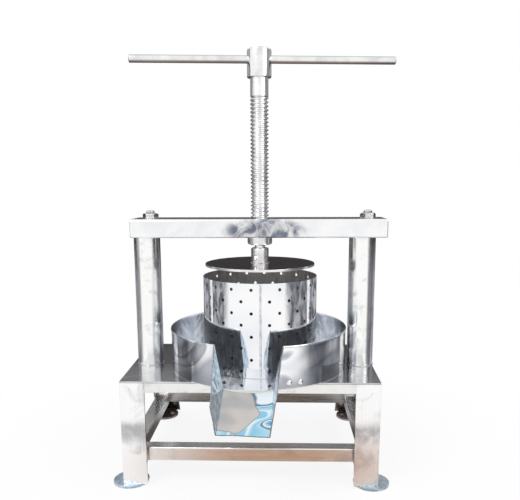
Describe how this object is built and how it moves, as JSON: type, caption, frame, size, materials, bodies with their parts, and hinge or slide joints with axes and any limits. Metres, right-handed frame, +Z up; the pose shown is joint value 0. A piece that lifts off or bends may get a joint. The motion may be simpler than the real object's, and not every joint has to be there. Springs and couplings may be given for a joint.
{
  "type": "screw press",
  "caption": "Hand screw press for coconut milk: perforated basket in a spouted bowl on a leg table, with a crosshead, turning screw and sliding handle bar.",
  "frame": {"origin": "centre of the bolt pattern of the feet, on the floor", "axes": "+Z up along the screw, -Y towards the user, where the spout points, +X to the right seen from the user"},
  "size_m": [0.4806, 0.4675, 0.725],
  "materials": {
    "frame_steel": "satin stainless steel, welds ground flush",
    "head_steel": "polished stainless steel tube and beam",
    "fastener_steel": "plain stainless fasteners",
    "turned_steel": "turned stainless steel",
    "vessel_steel": "mirror-polished stainless sheet"
  },
  "bodies": {
    "frame": {"top_plate": "frame_steel", "cross_bearer": "frame_steel", "crosshead": "head_steel", "screw_nut": "head_steel", "skirt_front": "frame_steel", "skirt_rear": "frame_steel", "skirt_left": "frame_steel", "skirt_right": "frame_steel", "stretcher_front": "frame_steel", "stretcher_rear": "frame_steel", "stretcher_left": "frame_steel", "stretcher_right": "frame_steel", "leg_front_left": "frame_steel", "leg_front_right": "frame_steel", "leg_rear_left": "frame_steel", "leg_rear_right": "frame_steel", "foot_front_left": "frame_steel", "foot_front_right": "frame_steel", "foot_rear_left": "frame_steel", "foot_rear_right": "frame_steel", "column_left": "head_steel", "column_right": "head_steel", "tie_rod_left": "fastener_steel", "tie_rod_right": "fastener_steel", "top_nut_left": "fastener_steel", "top_nut_right": "fastener_steel", "lower_nut_left": "fastener_steel", "lower_nut_right": "fastener_steel", "lower_washer_left": "fastener_steel", "lower_washer_right": "fastener_steel", "crosshead_cap_left": "head_steel", "crosshead_cap_right": "head_steel"},
    "press_head": {"press_plate": "vessel_steel", "thrust_collar": "turned_steel", "retaining_screw_1": "fastener_steel", "retaining_screw_2": "fastener_steel"},
    "screw": {"spindle": "turned_steel", "hub": "turned_steel"},
    "handle": {"handle_bar": "turned_steel"},
    "bowl": {"bowl_wall": "vessel_steel", "bowl_floor": "vessel_steel", "spout": "vessel_steel"},
    "basket": {"basket_wall": "vessel_steel", "basket_floor": "vessel_steel"}
  },
  "joints": [
    {"name": "press_travel", "type": "slide", "parent": "frame", "child": "press_head", "axis": [0, 0, 1], "range_m": [-0.15, 0]},
    {"name": "screw_turn", "type": "hinge", "parent": "press_head", "child": "screw", "pos_m": [0.0145, -0.0595, 0.5], "axis": [0, 0, 1], "range_deg": [-8310, 0]},
    {"name": "bar_slide", "type": "slide", "parent": "screw", "child": "handle", "axis": [0.9962, 0.0872, 0], "range_m": [-0.19, 0.18]},
    {"name": "bowl_turn", "type": "hinge", "parent": "frame", "child": "bowl", "pos_m": [0.0145, -0.0595, 0.185], "axis": [0, 0, 1], "range_deg": [-10, 10]},
    {"name": "basket_lift", "type": "slide", "parent": "bowl", "child": "basket", "axis": [0, 0, 1], "range_m": [0, 0.015]}
  ],
  "couplings": [
    {"joint": "screw_turn", "follows": "press_travel", "rad_per_m": 966.64}
  ]
}
